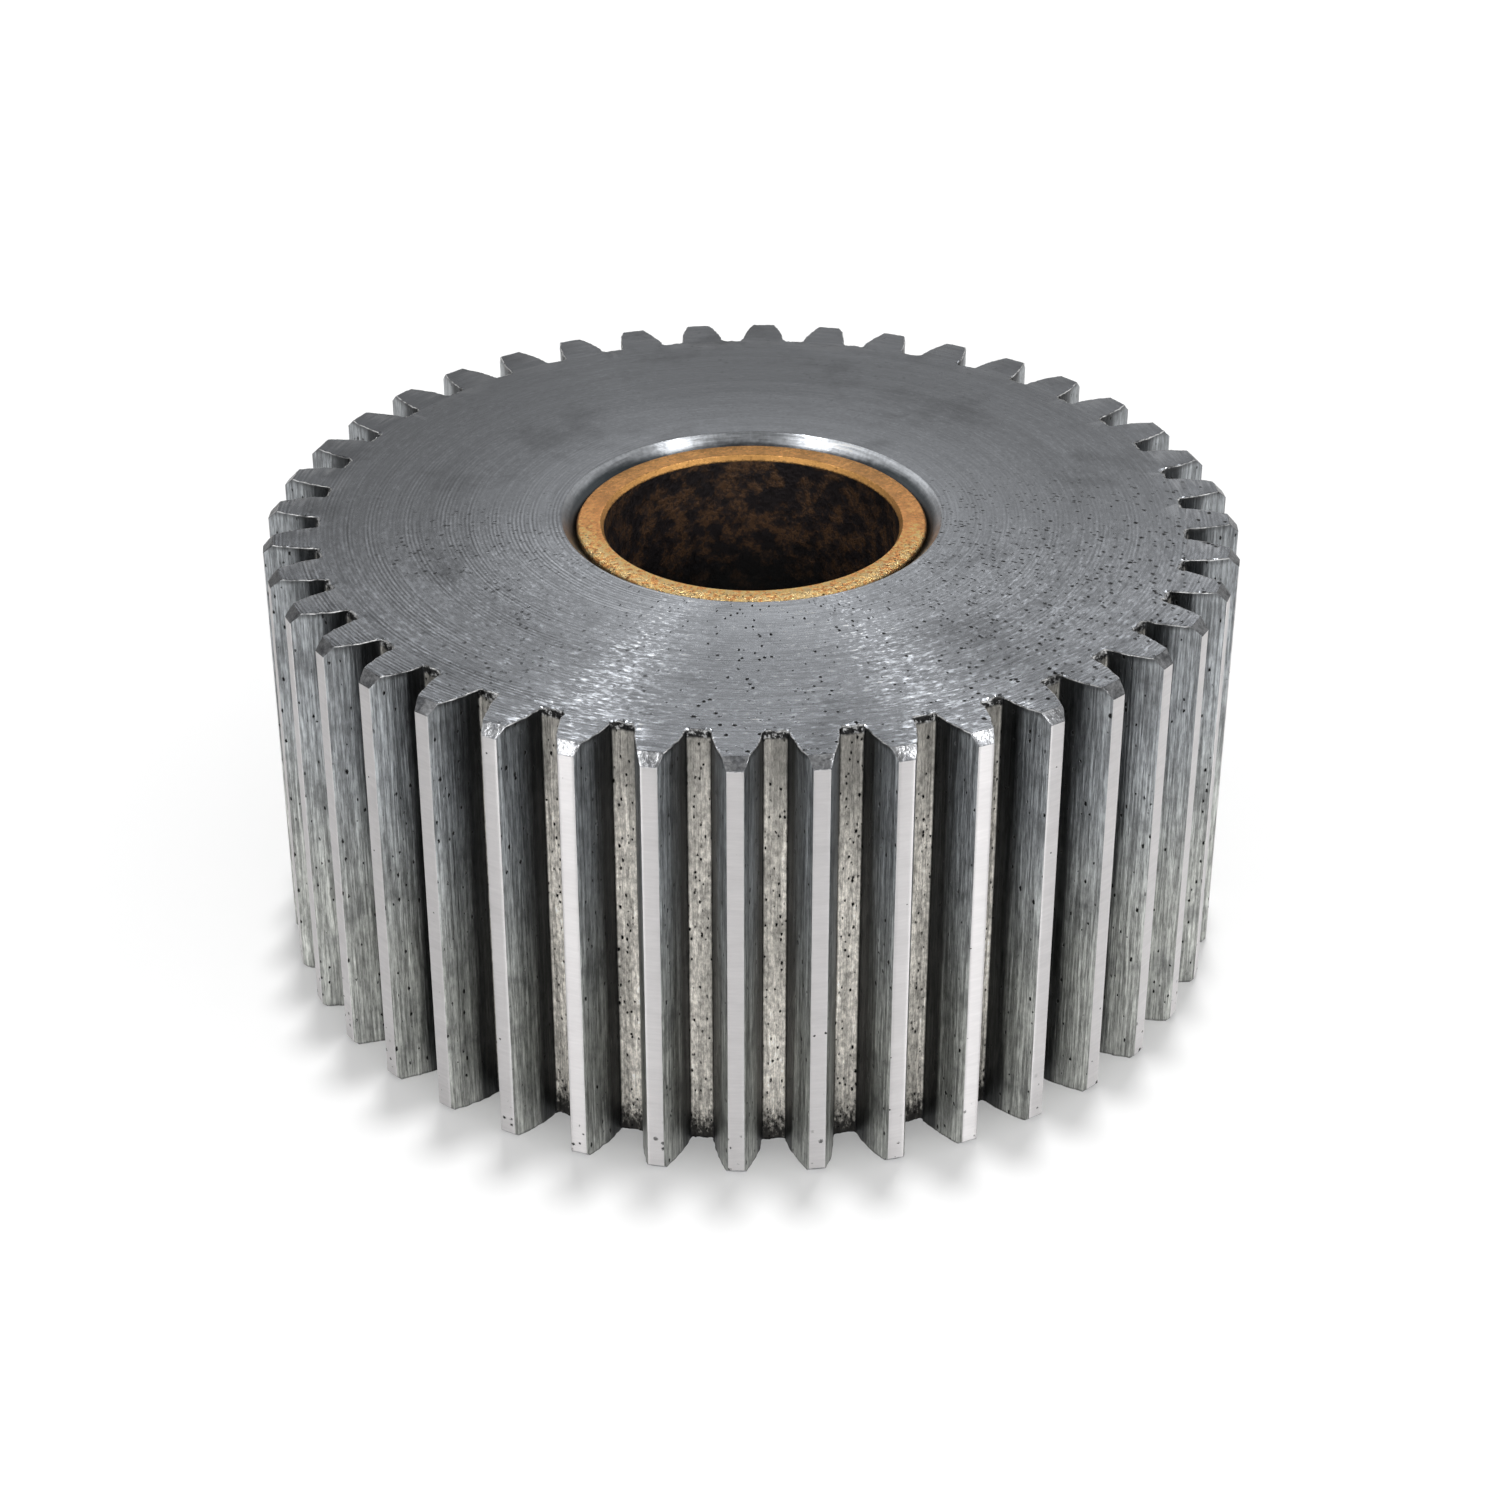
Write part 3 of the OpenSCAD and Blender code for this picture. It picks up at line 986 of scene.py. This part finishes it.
def tidyMesh(piece):
    # turns the faces outwards, and prints what the mesh holds
    shape = bmesh.new()
    shape.from_mesh(piece.data)
    openEdges = sum(1 for edge in shape.edges if len(edge.link_faces) != 2)
    bmesh.ops.recalc_face_normals(shape, faces=shape.faces)
    volume = shape.calc_volume(signed=True)
    shape.to_mesh(piece.data)
    shape.free()
    triangles = sum(len(face.vertices) - 2 for face in piece.data.polygons)
    print(f"{piece.name}: {triangles} triangles, {openEdges} open edges, {volume * 1e6:.2f} cm3")


def makeGear():
    size = gearSizes()
    piece = addObject("cut_gear", toothMesh(size))
    finishes = {
        "face": steelFace(), "land": steelLand(), "chamfer": steelChamfer(),
        "flank": steelFlank(size), "floor": steelFloor(size), "bore": steelBoreChamfer(size),
    }
    values = {
        "Tooth Count": size["teeth"],
        "Burr Height": size["burrHeight"] * mm,
        "Burr Size": size["burrSize"] * mm,
        "Middle Height": (gearLow.z + gearHigh.z) / 2,
        **finishes,
    }
    runNodes(piece, makeToothRing(finishes), values)
    print(f"gear: {size['teeth']} teeth of module {size['module']:.2f} mm, {len(finishes)} finishes")
    tidyMesh(piece)
    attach(piece, "root")
    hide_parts("spur_gear")


bush = {
    "outerBreak": 0.3,      # mm, round the outside of each end
    "leadInWidth": 0.4,
    "leadInDepth": 0.6,
    "edgeRound": 0.06,
    "columns": 288,
    "wallRings": 6,
    "nearColour": (1.12, 0.53, 0.19),       # the ends on the -Y side, painted lighter as lit from the front, before the grain darkens them
    "farColour": (0.74, 0.39, 0.14),
    "brightest": (1.0, 0.72, 0.35),         # no grain is brighter than this
    "poreColour": (0.09, 0.045, 0.018),
    "coneColour": (0.36, 0.19, 0.06),       # the lead-in cone
    "holeEdgeColour": (0.12, 0.07, 0.03),   # where the cone meets the hole
    "jointColour": (0.05, 0.03, 0.015),     # next to the gear: oil, with the painted shade of the gap there
    "oilDark": (0.036, 0.03, 0.032),        # the two tones of oil in the hole
    "oilBrown": (0.21, 0.118, 0.066),
}


def bushSizes():
    size = dict(bush)
    size["outer"] = (bushHigh.x - bushLow.x) / 2 / mm
    size["hole"] = mounts["bore"]["dims"]["r_mm"]
    size["rim"] = size["hole"] + bush["leadInWidth"]    # where the cone meets the flat end
    size["low"], size["high"] = bushLow.z / mm, bushHigh.z / mm
    return size


def bushEnd(size):
    material, tree, shader, place = startMaterial("bushEnd")
    position, radius, y = place.position, place.radius, place.y
    outer, hole, rim = size["outer"], size["hole"], size["rim"]
    grain = noise(tree, position, 2.2, 3.0, 0.75)
    grains = addNode(tree, "ShaderNodeTexVoronoi", {"Vector": position, "Scale": 2.3}).outputs["Color"]
    glint = channels(tree, grains)[0]
    nearHole = remap(tree, radius, hole + 0.6, hole + 1.8, 0.4, 1.0)
    rough = times(tree, remap(tree, y, 2.0, -11.0, 0.12, 1.0), nearHole)
    cloud = noise(tree, lengthwise(tree, position, 0.3), 0.45, 4.0, 0.6)
    # the grain's contrast, strongest on the -Y side, is partly the sintered grain and partly painted glints
    grainy = times(
        tree,
        slope(tree, grain, 0.34, 0.66, 0.35, 2.2),
        slope(tree, glint, 0.0, 0.7, 0.5, 2.0),
    )
    shade = times(
        tree,
        remap(tree, cloud, 0.35, 0.65, 0.86, 1.1),
        # painted shade: darker towards the ±X sides
        remap(tree, maths(tree, "ABSOLUTE", place.x), 9.0, 17.0, 1.0, 0.84),
        faded(tree, grainy, rough),
        slope(tree, grain, 0.3, 0.7, 0.86, 1.1),
    )
    # painted light: the ends are lighter on the -Y side, towards the lamps, and darker away from it
    plain = mixColour(tree, remap(tree, y, -6.0, 16.0), bush["nearColour"], bush["farColour"])
    colour = vectorMaths(tree, "MINIMUM", vectorScale(tree, plain, shade), bush["brightest"])
    pore = times(tree, pitMask(tree, position, 0.6, 0.8, 0.3), timesPlus(tree, rough, 0.8, 0.2))
    uneven = timesPlus(tree, grain, 0.4, radius)
    colour = layered(
        tree, colour,
        (pore, bush["poreColour"]),
        (remap(tree, uneven, rim + 0.24, rim + 0.14, 0.0, 0.85), bush["coneColour"]),
        (remap(tree, uneven, hole + 0.3, hole + 0.2, 0.0, 0.8), bush["holeEdgeColour"]),
        # oil, and painted shade in the gap next to the gear
        (remap(tree, uneven, outer - 0.02, outer + 0.15, 0.0, 0.85), bush["jointColour"]),
    )
    roughness = remap(tree, times(tree, glint, rough), 0.0, 1.0, 0.46, 0.26)
    relief = minus(tree, timesPlus(tree, glint, 0.7, grain), pore)
    finish(tree, shader, colour, roughness, times(tree, relief, timesPlus(tree, rough, 0.9, 0.1)), 0.6)
    return material


def bushBore(size):
    material, tree, shader, place = startMaterial("bushBore", metallic=0.85)
    height, top = place.height, size["high"]
    blotch = noise(tree, place.position, 0.4, 5.0, 0.65)
    fine = noise(tree, place.position, 1.5, 3.0, 0.65)
    brown = times(tree, remap(tree, blotch, 0.44, 0.6), remap(tree, fine, 0.42, 0.54, 0.25, 1.0))
    colour = mixColour(tree, brown, bush["oilDark"], bush["oilBrown"])
    # painted shade: darker deeper down the hole, partly oil
    deep = remap(tree, timesPlus(tree, blotch, 8.0, height), top - 5.1, top - 13.1)
    colour = mixColour(tree, deep, colour, grey(0.022))
    colour = vectorScale(tree, colour, remap(tree, height, top - 0.1, top - 8.1, 0.5, 1.0))
    finish(tree, shader, colour, remap(tree, fine, 0.35, 0.65, 0.62, 0.45), fine, 0.14)
    return material


def bushProfile(size):
    # radius and height round the wall's section, and what each side is, from the lower outside corner up
    outer, hole, rim, soft = size["outer"], size["hole"], size["rim"], size["edgeRound"]
    outerBreak, coneDepth = size["outerBreak"], size["leadInDepth"]
    face = outer - outerBreak - soft
    end = [
        (outer, outerBreak + soft, "wall"),
        (outer - 0.3 * soft, outerBreak - 0.3 * soft, "end"),
        (outer - outerBreak + 0.3 * soft, 0.3 * soft, "end"),
        (face, 0.0, "end"),
    ]
    end += [(face + (rim + soft - face) * share, 0.0, "end") for share in (0.25, 0.5, 0.75, 1.0)]
    end += [
        (rim - 0.3 * soft, 0.5 * soft, "end"),
        (hole + 0.3 * soft, coneDepth - 0.5 * soft, "end"),
        (hole, coneDepth + soft, "hole"),
    ]
    points = [(radius, size["low"] + depth, name) for radius, depth, name in end]
    start, stop = points[-1][1], size["high"] - end[-1][1]
    for i in range(1, size["wallRings"]):
        points.append((hole, start + (stop - start) * i / size["wallRings"], "hole"))
    points += [(radius, size["high"] - depth, name) for radius, depth, name in reversed(end)]
    return points


def makeBush():
    size = bushSizes()
    profile, columns = bushProfile(size), size["columns"]
    vertices, faces, slots = [], [], []
    for k in range(columns):
        angle = 2 * math.pi * k / columns
        for radius, z, _ in profile:
            vertices.append((radius * mm * math.cos(angle), radius * mm * math.sin(angle), z * mm))
    sides = len(profile)
    for k in range(columns):
        here, there = k * sides, (k + 1) % columns * sides
        for i in range(sides):
            j = (i + 1) % sides
            faces.append((here + i, here + j, there + j, there + i))
            slots.append(1 if profile[i][2] == profile[j][2] == "hole" else 0)
    mesh = bpy.data.meshes.new("sintered_bush")
    mesh.from_pydata(vertices, [], faces)
    mesh.materials.append(bushEnd(size))
    mesh.materials.append(bushBore(size))
    mesh.polygons.foreach_set("material_index", slots)
    piece = addObject("sintered_bush", mesh)
    mesh.shade_smooth()
    mesh.set_sharp_from_angle(angle=math.radians(20))
    print(f"bush: {size['outer']:.1f} mm outside and {size['hole']:.1f} mm inside in radius, 2 finishes")
    tidyMesh(piece)
    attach(piece, "root")
    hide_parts("bronze_bush")


placeCamera()
makeStudio()
makeGear()
makeBush()
